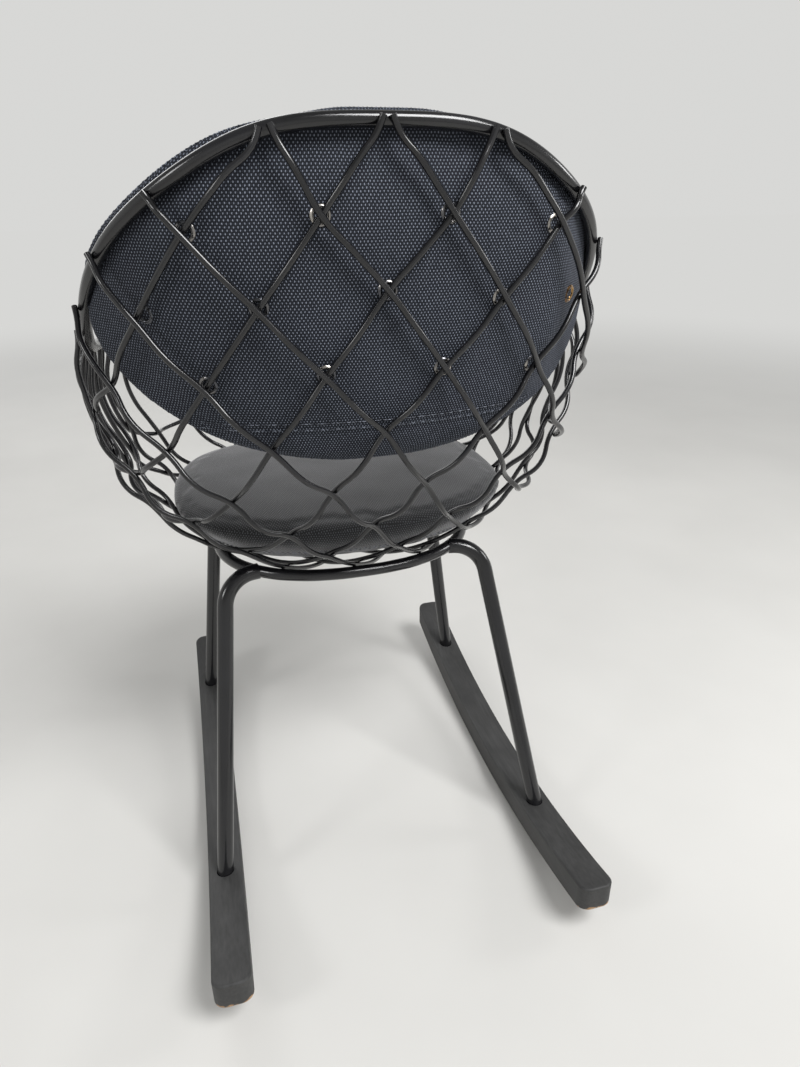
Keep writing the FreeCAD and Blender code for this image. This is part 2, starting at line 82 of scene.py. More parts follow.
def add(tree: bpy.types.NodeTree, kind: str, values: dict[Any, Any] | None = None,
        links: dict[Any, bpy.types.NodeSocket] | None = None, stops: Sequence[tuple[float, str]] = (),
        **settings: Any) -> bpy.types.Node:
    """Add a node with its settings, socket values and links.

    Args:
        tree: Node tree that takes the node.
        kind: Blender's type name of the node.
        values: Values for input sockets, by name or index.
        links: Sockets to link from, by input name or index.
        stops: Place and sRGB hex colour of each stop, on a colour ramp.
        settings: Properties of the node itself.

    Returns:
        The new node.
    """
    node = tree.nodes.new(kind)
    for name, value in settings.items():
        setattr(node, name, value)
    for key, value in (values or {}).items():
        node.inputs[key].default_value = value
    for key, socket in (links or {}).items():
        tree.links.new(socket, node.inputs[key])
    while stops and len(node.color_ramp.elements) < len(stops):
        node.color_ramp.elements.new(0.5)
    for number, (place, code) in enumerate(stops):
        node.color_ramp.elements[number].position = place
        node.color_ramp.elements[number].color = linear(code)
    return node


def new_material(name: str) -> tuple[bpy.types.Material, bpy.types.NodeTree, bpy.types.Node]:
    """Make a material with an empty Principled surface.

    Args:
        name: Common name of the real material.

    Returns:
        The material, its node tree and its Principled node.
    """
    material = bpy.data.materials.new(name)
    material.use_nodes = True
    tree = material.node_tree
    tree.nodes.clear()
    shader = add(tree, "ShaderNodeBsdfPrincipled")
    add(tree, "ShaderNodeOutputMaterial", links={"Surface": shader.outputs["BSDF"]})
    return material, tree, shader


# Finishes


@dataclass(frozen=True)
class PowderCoatedSteel:
    """Satin black powder coat, sprayed and baked: a faint orange peel and soft, clean highlights."""

    name: str = "powder-coated steel, satin black"
    dark: str = "#0b0b0d"
    pale: str = "#151518"
    patch_mm: float = 45.0
    peel_mm: float = 2.2
    peel_depth: float = 0.0002
    peel_strength: float = 0.12
    roughness: tuple[float, float] = (0.17, 0.26)
    coat: float = 0.25
    coat_roughness: float = 0.1

    def material(self) -> bpy.types.Material:
        """Build the material.

        Returns:
            The finished material.
        """
        material, tree, shader = new_material(self.name)
        place = add(tree, "ShaderNodeTexCoord").outputs["Object"]
        patch = add(tree, "ShaderNodeTexNoise", {"Scale": 1 / (self.patch_mm * MM), "Detail": 3.0},
                    {"Vector": place})
        # The real peel is near 1 mm across; it is drawn at about twice that so that it shows
        peel = add(tree, "ShaderNodeTexNoise", {"Scale": 1 / (self.peel_mm * MM), "Detail": 1.0},
                   {"Vector": place})
        tone = add(tree, "ShaderNodeValToRGB", links={"Fac": patch.outputs["Fac"]},
                   stops=[(0.3, self.dark), (0.7, self.pale)])
        gloss = add(tree, "ShaderNodeMapRange", {"To Min": self.roughness[0], "To Max": self.roughness[1]},
                    {"Value": patch.outputs["Fac"]})
        bump = add(tree, "ShaderNodeBump", {"Strength": self.peel_strength, "Distance": self.peel_depth},
                   {"Height": peel.outputs["Fac"]})
        tree.links.new(tone.outputs["Color"], shader.inputs["Base Color"])
        tree.links.new(gloss.outputs["Result"], shader.inputs["Roughness"])
        tree.links.new(bump.outputs["Normal"], shader.inputs["Normal"])
        shader.inputs["Coat Weight"].default_value = self.coat
        shader.inputs["Coat Roughness"].default_value = self.coat_roughness
        return material


@dataclass(frozen=True)
class PaintedBeech:
    """Matte black paint on beech: the grain just telegraphs through, and bare wood shows at chipped ends."""

    name: str = "painted beech, matte black"
    dark: str = "#2d2d2d"
    pale: str = "#404040"
    bare_dark: str = "#8f6c48"
    bare_pale: str = "#b4906a"
    grain_mm: float = 3.0
    grain_depth: float = 0.0004
    grain_strength: float = 0.12
    grain_stretch: float = 0.06
    cloud_mm: float = 55.56
    roughness: tuple[float, float] = (0.52, 0.68)
    chip_mm: float = 9.0
    chip_y: tuple[float, float] = (0.292, 0.312)
    chip_height: tuple[float, float] = (0.011, 0.002)
    chip_edge: tuple[float, float] = (0.36, 0.42)
    sole_radius: float = 1.211

    def material(self) -> bpy.types.Material:
        """Build the material.

        Returns:
            The finished material.
        """
        material, tree, shader = new_material(self.name)
        place = add(tree, "ShaderNodeTexCoord").outputs["Object"]
        # Grain runs along the rocker, so the noise is stretched along Y
        stretch = add(tree, "ShaderNodeMapping", {"Scale": (1.0, self.grain_stretch, 1.0)}, {"Vector": place})
        grain = add(tree, "ShaderNodeTexNoise", {"Scale": 1 / (self.grain_mm * MM), "Detail": 4.0},
                    {"Vector": stretch.outputs["Vector"]})
        cloud = add(tree, "ShaderNodeTexNoise", {"Scale": 1 / (self.cloud_mm * MM), "Detail": 4.0},
                    {"Vector": place})
        blend = add(tree, "ShaderNodeMath", links={0: grain.outputs["Fac"], 1: cloud.outputs["Fac"]},
                    operation="MULTIPLY")
        paint = add(tree, "ShaderNodeValToRGB", links={"Fac": blend.outputs["Value"]},
                    stops=[(0.12, self.dark), (0.42, self.pale)])
        bare = add(tree, "ShaderNodeValToRGB", links={"Fac": grain.outputs["Fac"]},
                   stops=[(0.3, self.bare_dark), (0.7, self.bare_pale)])
        chips = self._chips(tree, place)
        tone = add(tree, "ShaderNodeMix", data_type="RGBA",
                   links={"Factor": chips, 6: paint.outputs["Color"], 7: bare.outputs["Color"]})
        rough = add(tree, "ShaderNodeMapRange", {"To Min": self.roughness[0], "To Max": self.roughness[1]},
                    {"Value": cloud.outputs["Fac"]})
        bump = add(tree, "ShaderNodeBump", {"Strength": self.grain_strength, "Distance": self.grain_depth},
                   {"Height": grain.outputs["Fac"]})
        tree.links.new(tone.outputs[2], shader.inputs["Base Color"])
        tree.links.new(rough.outputs["Result"], shader.inputs["Roughness"])
        tree.links.new(bump.outputs["Normal"], shader.inputs["Normal"])
        return material

    def _chips(self, tree: bpy.types.NodeTree, place: bpy.types.NodeSocket) -> bpy.types.NodeSocket:
        """Mask of chipped paint along the lower edge of the rear ends.

        Args:
            tree: Node tree.
            place: Object coordinates.

        Returns:
            A factor socket, 1 where the wood is bare.
        """
        axis = add(tree, "ShaderNodeSeparateXYZ", links={"Vector": place})
        square = add(tree, "ShaderNodeMath", {1: 2.0}, {0: axis.outputs["Y"]}, operation="POWER")
        sole = add(tree, "ShaderNodeMath", {1: 0.5 / self.sole_radius}, {0: square.outputs["Value"]},
                   operation="MULTIPLY")
        above = add(tree, "ShaderNodeMath", links={0: axis.outputs["Z"], 1: sole.outputs["Value"]},
                    operation="SUBTRACT")
        low = add(tree, "ShaderNodeMapRange",
                  {"From Min": self.chip_height[0], "From Max": self.chip_height[1]},
                  {"Value": above.outputs["Value"]})
        rear = add(tree, "ShaderNodeMapRange", {"From Min": self.chip_y[0], "From Max": self.chip_y[1]},
                   {"Value": axis.outputs["Y"]})
        both = add(tree, "ShaderNodeMath", links={0: low.outputs["Result"], 1: rear.outputs["Result"]},
                   operation="MULTIPLY")
        flakes = add(tree, "ShaderNodeTexNoise", {"Scale": 1 / (self.chip_mm * MM), "Detail": 6.0},
                     {"Vector": place})
        total = add(tree, "ShaderNodeMath", links={0: both.outputs["Value"], 1: flakes.outputs["Fac"]},
                    operation="MULTIPLY")
        return add(tree, "ShaderNodeMapRange", {"From Min": self.chip_edge[0], "From Max": self.chip_edge[1]},
                   {"Value": total.outputs["Value"]}).outputs["Result"]


@dataclass(frozen=True)
class PanamaCanvas:
    """Outdoor canvas in panama weave: floats of thread in brick order on a dark ground, with painted
    highlights on their crests and painted shade in the gaps between them.
    """

    name: str = "woven panama canvas, navy black"
    # The darkest stop is painted shade between the floats and the palest is a painted highlight on their
    # crests
    gap_shade: str = "#10131a"
    thread: str = "#2d313b"
    glint: str = "#7d838f"
    float_mm: tuple[float, float] = (1.5, 2.4)
    float_depth: float = 0.0006
    float_strength: float = 0.5
    under_share: float = 0.3
    wander_mm: float = 11.11
    wander_shift: float = 0.0013
    slub_mm: float = 3.846
    slub: tuple[float, float] = (0.6, 1.2)
    roughness: float = 0.82
    specular: float = 0.25
    sheen: float = 0.08
    sheen_roughness: float = 0.45
    sheen_tint: str = "#8b8fa0"

    def material(self) -> bpy.types.Material:
        """Build the material.

        Returns:
            The finished material.
        """
        material, tree, shader = new_material(self.name)
        uv = add(tree, "ShaderNodeUVMap", uv_map="weave").outputs["UV"]
        place = add(tree, "ShaderNodeTexCoord").outputs["Object"]
        # Threads wander by a fraction of their pitch, as in woven cloth
        wander = add(tree, "ShaderNodeTexNoise", {"Scale": 1 / (self.wander_mm * MM), "Detail": 2.0},
                     {"Vector": place})
        shift = add(tree, "ShaderNodeVectorMath", {1: (0.5, 0.5, 0.5)}, {0: wander.outputs["Color"]},
                    operation="SUBTRACT")
        small = add(tree, "ShaderNodeVectorMath", {"Scale": self.wander_shift}, {0: shift.outputs["Vector"]},
                    operation="SCALE")
        moved = add(tree, "ShaderNodeVectorMath", links={0: uv, 1: small.outputs["Vector"]}, operation="ADD")
        rate = (1 / (self.float_mm[0] * MM), 1 / (self.float_mm[1] * MM), 0.0)
        cells = add(tree, "ShaderNodeVectorMath", {1: rate}, {0: moved.outputs["Vector"]},
                    operation="MULTIPLY")
        # The checks also change along Z, so the cells are held half way up one
        level = add(tree, "ShaderNodeVectorMath", {1: (0.0, 0.0, 0.5)}, {0: cells.outputs["Vector"]},
                    operation="ADD")
        checks = add(tree, "ShaderNodeTexChecker", {"Scale": 1.0}, {"Vector": level.outputs["Vector"]})
        dome = self._dome(tree, cells.outputs["Vector"])
        low = add(tree, "ShaderNodeMath", {1: self.under_share}, {0: dome}, operation="MULTIPLY")
        height = add(tree, "ShaderNodeMix",
                     links={0: checks.outputs["Fac"], 2: low.outputs["Value"], 3: dome})
        slub = add(tree, "ShaderNodeTexNoise", {"Scale": 1 / (self.slub_mm * MM), "Detail": 2.0},
                   {"Vector": place})
        drift = add(tree, "ShaderNodeMapRange", {"To Min": self.slub[0], "To Max": self.slub[1]},
                    {"Value": slub.outputs["Fac"]})
        lit = add(tree, "ShaderNodeMath", links={0: height.outputs[0], 1: drift.outputs["Result"]},
                  operation="MULTIPLY")
        # Painted shade in the gaps between floats and painted highlights on their crests; the middle stop is
        # the thread's own colour
        tone = add(tree, "ShaderNodeValToRGB", links={"Fac": lit.outputs["Value"]},
                   stops=[(0.08, self.gap_shade), (0.36, self.thread), (0.85, self.glint)])
        bump = add(tree, "ShaderNodeBump", {"Strength": self.float_strength, "Distance": self.float_depth},
                   {"Height": height.outputs[0]})
        tree.links.new(tone.outputs["Color"], shader.inputs["Base Color"])
        tree.links.new(bump.outputs["Normal"], shader.inputs["Normal"])
        shader.inputs["Roughness"].default_value = self.roughness
        shader.inputs["Specular IOR Level"].default_value = self.specular
        shader.inputs["Sheen Weight"].default_value = self.sheen
        shader.inputs["Sheen Roughness"].default_value = self.sheen_roughness
        shader.inputs["Sheen Tint"].default_value = linear(self.sheen_tint)
        return material

    def _dome(self, tree: bpy.types.NodeTree, cells: bpy.types.NodeSocket) -> bpy.types.NodeSocket:
        """Height of a thread that rises over each cell.

        Args:
            tree: Node tree.
            cells: Place on the cloth, counted in cells.

        Returns:
            Height from 0 to 1.
        """
        axis = add(tree, "ShaderNodeSeparateXYZ", links={"Vector": cells})
        parts = []
        for name in ("X", "Y"):
            angle = add(tree, "ShaderNodeMath", {1: math.pi}, {0: axis.outputs[name]}, operation="MULTIPLY")
            wave = add(tree, "ShaderNodeMath", links={0: angle.outputs["Value"]}, operation="SINE")
            parts.append(add(tree, "ShaderNodeMath", links={0: wave.outputs["Value"]},
                             operation="ABSOLUTE").outputs["Value"])
        product = add(tree, "ShaderNodeMath", links={0: parts[0], 1: parts[1]}, operation="MULTIPLY")
        return product.outputs["Value"]


@dataclass(frozen=True)
class GunmetalPlate:
    """Gunmetal-plated brass, rolled and tumbled: dark and smooth, with warm painted glints in pale patches
    from noise.
    """

    name: str = "gunmetal-plated brass"
    dark: str = "#55565a"
    # The pale stop is a painted glint on the plating
    rubbed: str = "#b4afa8"
    glint_mm: float = 16.67
    roughness: tuple[float, float] = (0.16, 0.3)

    def material(self) -> bpy.types.Material:
        """Build the material.

        Returns:
            The finished material.
        """
        material, tree, shader = new_material(self.name)
        place = add(tree, "ShaderNodeTexCoord").outputs["Object"]
        glint_noise = add(tree, "ShaderNodeTexNoise", {"Scale": 1 / (self.glint_mm * MM), "Detail": 1.0},
                  {"Vector": place})
        # Pale patches from noise are painted glints
        tone = add(tree, "ShaderNodeValToRGB", links={"Fac": glint_noise.outputs["Fac"]},
                   stops=[(0.45, self.dark), (0.7, self.rubbed)])
        rough = add(tree, "ShaderNodeMapRange", {"To Min": self.roughness[0], "To Max": self.roughness[1]},
                    {"Value": glint_noise.outputs["Fac"]})
        tree.links.new(tone.outputs["Color"], shader.inputs["Base Color"])
        tree.links.new(rough.outputs["Result"], shader.inputs["Roughness"])
        shader.inputs["Metallic"].default_value = 1.0
        return material


@dataclass(frozen=True)
class TurnedSteel:
    """Turned steel, bright or blackened: its gloss changes in rings from the tool."""

    name: str
    tone: str
    ring_mm: float = 5.027
    roughness: tuple[float, float] = (0.28, 0.42)

    def material(self) -> bpy.types.Material:
        """Build the material.

        Returns:
            The finished material.
        """
        material, tree, shader = new_material(self.name)
        place = add(tree, "ShaderNodeTexCoord").outputs["Object"]
        # Real tool rings are under 1 mm apart; they are drawn 5 mm apart so that they show
        rate = 1 / (self.ring_mm * MM * WAVE_BANDS)
        rings = add(tree, "ShaderNodeTexWave", {"Scale": rate, "Distortion": 0.6}, {"Vector": place},
                    bands_direction="Z")
        rough = add(tree, "ShaderNodeMapRange", {"To Min": self.roughness[0], "To Max": self.roughness[1]},
                    {"Value": rings.outputs["Fac"]})
        tree.links.new(rough.outputs["Result"], shader.inputs["Roughness"])
        shader.inputs["Base Color"].default_value = linear(self.tone)
        shader.inputs["Metallic"].default_value = 1.0
        return material


@dataclass(frozen=True)
class SewingThread:
    """Twisted polyester thread: a soft shine, with the twist as a slanted change of tone."""

    name: str = "polyester sewing thread"
    dark: str = "#2a2e38"
    pale: str = "#6e737f"
    twist_mm: float = 5.655
    roughness: float = 0.55

    def material(self) -> bpy.types.Material:
        """Build the material.

        Returns:
            The finished material.
        """
        material, tree, shader = new_material(self.name)
        place = add(tree, "ShaderNodeTexCoord").outputs["Object"]
        # The real twist repeats in under 1 mm; it is drawn over a stitch or more so that it shows
        rate = 1 / (self.twist_mm * MM * WAVE_BANDS)
        twist = add(tree, "ShaderNodeTexWave", {"Scale": rate, "Distortion": 1.0}, {"Vector": place},
                    bands_direction="DIAGONAL")
        tone = add(tree, "ShaderNodeValToRGB", links={"Fac": twist.outputs["Fac"]},
                   stops=[(0.2, self.dark), (0.9, self.pale)])
        tree.links.new(tone.outputs["Color"], shader.inputs["Base Color"])
        shader.inputs["Roughness"].default_value = self.roughness
        return material


# Modelling helpers


def only(obj: bpy.types.Object) -> bpy.types.Object:
    """Select one object alone and make it active.

    Args:
        obj: The object.

    Returns:
        The same object.
    """
    bpy.ops.object.select_all(action="DESELECT")
    obj.select_set(True)
    bpy.context.view_layer.objects.active = obj
    return obj


def apply_modifier(obj: bpy.types.Object, kind: str, **settings: Any) -> None:
    """Add a modifier with its settings and apply it.

    Args:
        obj: Mesh object.
        kind: Blender's modifier type.
        settings: Properties of the modifier.
    """
    only(obj)
    modifier = obj.modifiers.new(kind.lower(), kind)
    for name, value in settings.items():
        setattr(modifier, name, value)
    bpy.ops.object.modifier_apply(modifier=modifier.name)


def coordinates(obj: bpy.types.Object) -> np.ndarray:
    """Read the vertex places of a mesh.

    Args:
        obj: Mesh object.

    Returns:
        One row for each vertex.
    """
    co = np.zeros(len(obj.data.vertices) * 3, np.float32)
    obj.data.vertices.foreach_get("co", co)
    return co.reshape(-1, 3).astype(float)


def set_coordinates(obj: bpy.types.Object, co: np.ndarray) -> None:
    """Move the vertices of a mesh object to the rows of an array."""
    obj.data.vertices.foreach_set("co", co.astype(np.float32).ravel())
    obj.data.update()


def vertex_sides(obj: bpy.types.Object) -> np.ndarray:
    """Read the vertex normals of a mesh.

    Args:
        obj: Mesh object.

    Returns:
        One row for each vertex.
    """
    sides = np.zeros(len(obj.data.vertices) * 3, np.float32)
    obj.data.vertex_normals.foreach_get("vector", sides)
    return sides.reshape(-1, 3).astype(float)


def corners(obj: bpy.types.Object) -> np.ndarray:
    """Read the vertex place of each face corner of a mesh.

    Args:
        obj: Mesh object.

    Returns:
        One row for each corner.
    """
    numbers = np.zeros(len(obj.data.loops), np.int32)
    obj.data.loops.foreach_get("vertex_index", numbers)
    return coordinates(obj)[numbers]


def write_weave(obj: bpy.types.Object, uv: np.ndarray) -> None:
    """Write the UV map that the weave follows, in metres along the cloth, a row for each corner."""
    layer = obj.data.uv_layers.get("weave") or obj.data.uv_layers.new(name="weave")
    layer.data.foreach_set("uv", uv.astype(np.float32).ravel())


def dress(obj: bpy.types.Object, material: bpy.types.Material) -> None:
    """Give an object one material in place of what it had."""
    obj.data.materials.clear()
    obj.data.materials.append(material)


def settle(obj: bpy.types.Object, body: Body, material: bpy.types.Material) -> bpy.types.Object:
    """Finish a new piece: smooth shading, material and body.

    Args:
        obj: The piece, with its place in its mesh.
        body: Body that it moves with.
        material: Finish.

    Returns:
        The same piece.
    """
    only(obj)
    bpy.ops.object.transform_apply(location=True, rotation=True, scale=True)
    bpy.ops.object.shade_smooth_by_angle(angle=SMOOTH_ANGLE)
    dress(obj, material)
    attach(obj, body.value)
    LOG.info("made %s", obj.name)
    return obj


def tube(name: str, points: np.ndarray, radius: float, closed: bool) -> bpy.types.Object:
    """Make a round tube along points.

    Args:
        name: Name of the piece.
        points: Rows of places along the middle line.
        radius: Radius of the tube.
        closed: True for a loop.

    Returns:
        A mesh object.
    """
    data = bpy.data.curves.new(name, "CURVE")
    data.dimensions = "3D"
    data.bevel_depth = radius
    data.bevel_resolution = 2
    data.use_fill_caps = True
    spline = data.splines.new("NURBS")
    spline.points.add(len(points) - 1)
    for point, place in zip(spline.points, points):
        point.co = (*place, 1.0)
    spline.use_cyclic_u = closed
    spline.order_u = 4
    spline.use_endpoint_u = not closed
    spline.resolution_u = 2
    obj = bpy.data.objects.new(name, data)
    bpy.context.scene.collection.objects.link(obj)
    only(obj)
    bpy.ops.object.convert(target="MESH")
    return bpy.context.object


def stitch_mesh(length: float, radius: float) -> tuple[np.ndarray, list[tuple[int, ...]]]:
    """Model one stitch: a short bar of thread along X with sunken ends.

    Args:
        length: Length from hole to hole.
        radius: Radius of the thread.

    Returns:
        Vertex rows and faces.
    """
    bpy.ops.object.select_all(action="DESELECT")
    bpy.ops.mesh.primitive_cylinder_add(vertices=6, radius=radius, depth=length,
                                        rotation=(0, math.pi / 2, 0))
    obj = bpy.context.object
    bpy.ops.object.transform_apply(location=True, rotation=True, scale=True)
    bpy.ops.object.mode_set(mode="EDIT")
    bpy.ops.mesh.select_all(action="SELECT")
    bpy.ops.mesh.bisect(plane_co=(0, 0, 0), plane_no=(1, 0, 0))
    bpy.ops.object.mode_set(mode="OBJECT")
    co = coordinates(obj)
    co[:, 2] -= radius * STITCH_SINK * (np.abs(co[:, 0]) / (0.5 * length)) ** 2
    faces = [tuple(p.vertices) for p in obj.data.polygons]
    bpy.data.objects.remove(obj)
    return co, faces


def stitches(name: str, places: np.ndarray, along: np.ndarray, normals: np.ndarray,
             length: float, radius: float) -> bpy.types.Object:
    """Copy one stitch to every place of a seam.

    Args:
        name: Name of the piece.
        places: Rows of stitch middles on the cloth.
        along: Rows of stitch directions.
        normals: Rows of outward directions of the cloth.
        length: Length of a stitch.
        radius: Radius of the thread.

    Returns:
        A mesh object.
    """
    base, faces = stitch_mesh(length, radius)
    rows, polygons = [], []
    for place, tangent, normal in zip(places, along, normals):
        x = tangent / np.linalg.norm(tangent)
        z = normal - x * normal.dot(x)
        z /= np.linalg.norm(z)
        turn = np.array([x, np.cross(z, x), z])
        start = len(rows) * len(base)
        rows.append(place + base @ turn)
        polygons += [tuple(start + i for i in face) for face in faces]
    mesh = bpy.data.meshes.new(name)
    mesh.from_pydata(np.vstack(rows).tolist(), [], polygons)
    obj = bpy.data.objects.new(name, mesh)
    bpy.context.scene.collection.objects.link(obj)
    return obj


# Sub-assemblies


@dataclass
class Cushion:
    """A stuffed pad swollen by cloth simulation from the space that its foam holds."""

    name: str
    foam_node: str
    replaced: tuple[str, ...]
    body: Body
    slot: str
    layout: Layout
    canvas: bpy.types.Material
    thread: bpy.types.Material
    voxel: float = 0.005
    pressure: float = 4.0
    frames: int = 20
    cover: float = 0.0012
    swell_cap: float = 0.002
    slack: float = 0.0007
    slack_rate: float = 22.0
    fill: float = 0.75
    wrap_y: float = 0.0
    wrap_radius: float = 0.2
    flat_from: float = 0.6
    obj: bpy.types.Object = field(init=False)

    def build(self) -> bpy.types.Object:
        """Model the pad and dress it.

        Returns:
            The finished pad.
        """
        self.obj = self._foam_copy()
        self.obj.data.remesh_voxel_size = self.voxel
        bpy.ops.object.voxel_remesh()
        apply_modifier(self.obj, "SMOOTH", factor=0.5, iterations=5)
        apply_modifier(self.obj, "DISPLACE", strength=self.cover, mid_level=0.0)
        self._swell()
        self.shape()
        apply_modifier(self.obj, "SUBSURF", levels=1, render_levels=1)
        self._lay_weave()
        settle(self.obj, self.body, self.canvas)
        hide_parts(*self.replaced)
        self.sew()
        return self.obj

    def shape(self) -> None:
        """Form hollows before the last subdivision: here only the slack of the cloth."""
        co = coordinates(self.obj)
        waves = np.array([noise.noise(Vector(row) * self.slack_rate) for row in co])
        set_coordinates(self.obj, co + vertex_sides(self.obj) * (self.slack * waves)[:, None])

    def sew(self) -> None:
        """Add seams and stitches on the finished cloth."""

    def _foam_copy(self) -> bpy.types.Object:
        """Copy the foam solid as a closed mesh of its own.

        Returns:
            The copy, selected and active.
        """
        obj = bpy.data.objects.new(self.name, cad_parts[self.foam_node].data.copy())
        bpy.context.scene.collection.objects.link(obj)
        only(obj)
        bpy.ops.object.mode_set(mode="EDIT")
        bpy.ops.mesh.select_all(action="SELECT")
        bpy.ops.mesh.remove_doubles(threshold=MERGE)
        bpy.ops.mesh.normals_make_consistent(inside=False)
        bpy.ops.object.mode_set(mode="OBJECT")
        return obj

    def _swell(self) -> None:
        """Blow the cloth out under pressure, and let each point rise no further than the cap."""
        start, sides = coordinates(self.obj), vertex_sides(self.obj)
        only(self.obj)
        modifier = self.obj.modifiers.new("cloth", "CLOTH")
        modifier.settings.use_pressure = True
        modifier.settings.uniform_pressure_force = self.pressure
        modifier.settings.effector_weights.gravity = 0.0
        modifier.point_cache.frame_start = 1
        modifier.point_cache.frame_end = self.frames
        for number in range(1, self.frames + 1):
            bpy.context.scene.frame_set(number)
        bpy.ops.object.modifier_apply(modifier=modifier.name)
        bpy.context.scene.frame_set(1)
        rise = np.clip(((coordinates(self.obj) - start) * sides).sum(axis=1), 0.0, self.swell_cap)
        set_coordinates(self.obj, start + sides * rise[:, None])
        LOG.info("%s swells by %.1f mm, %.1f mm at most", self.name, rise.mean() / MM, rise.max() / MM)

    def wrapped(self, places: np.ndarray) -> np.ndarray:
        """Unroll cloth that is wrapped round the upright axis of the pad.

        Args:
            places: Rows of places on the cloth.

        Returns:
            Rows of the length round the axis and the height.
        """
        turn = np.arctan2(places[:, 0], places[:, 1] - self.wrap_y)
        return np.stack([turn * self.wrap_radius, places[:, 2]], axis=1)

    def _lay_weave(self) -> None:
        """Lay the weave: wrapped round the back pad, but flat on the top and bottom of the seat pad."""
        mesh = self.obj.data
        places = corners(self.obj)
        uv = self.wrapped(places)
        if self.layout is Layout.ROUND_SEAT:
            sides = np.zeros(len(mesh.polygons) * 3, np.float32)
            mesh.polygons.foreach_get("normal", sides)
            counts = np.zeros(len(mesh.polygons), np.int32)
            mesh.polygons.foreach_get("loop_total", counts)
            flat = np.repeat(np.abs(sides.reshape(-1, 3)[:, 2]) > self.flat_from, counts)
            uv = np.where(flat[:, None], places[:, :2], uv)
        write_weave(self.obj, uv)

    def cloth_point(self, origin: Sequence[float],
                    direction: Sequence[float]) -> tuple[np.ndarray, np.ndarray]:
        """Find the cloth along a line.

        Args:
            origin: Start of the line, outside the pad.
            direction: Way to look.

        Returns:
            Place and outward normal on the cloth.
        """
        hit, place, normal, _ = self.obj.ray_cast(Vector(origin), Vector(direction))
        if not hit:
            raise RuntimeError(f"{self.name}: no cloth along the line from {tuple(origin)}")
        return np.array(place), np.array(normal)


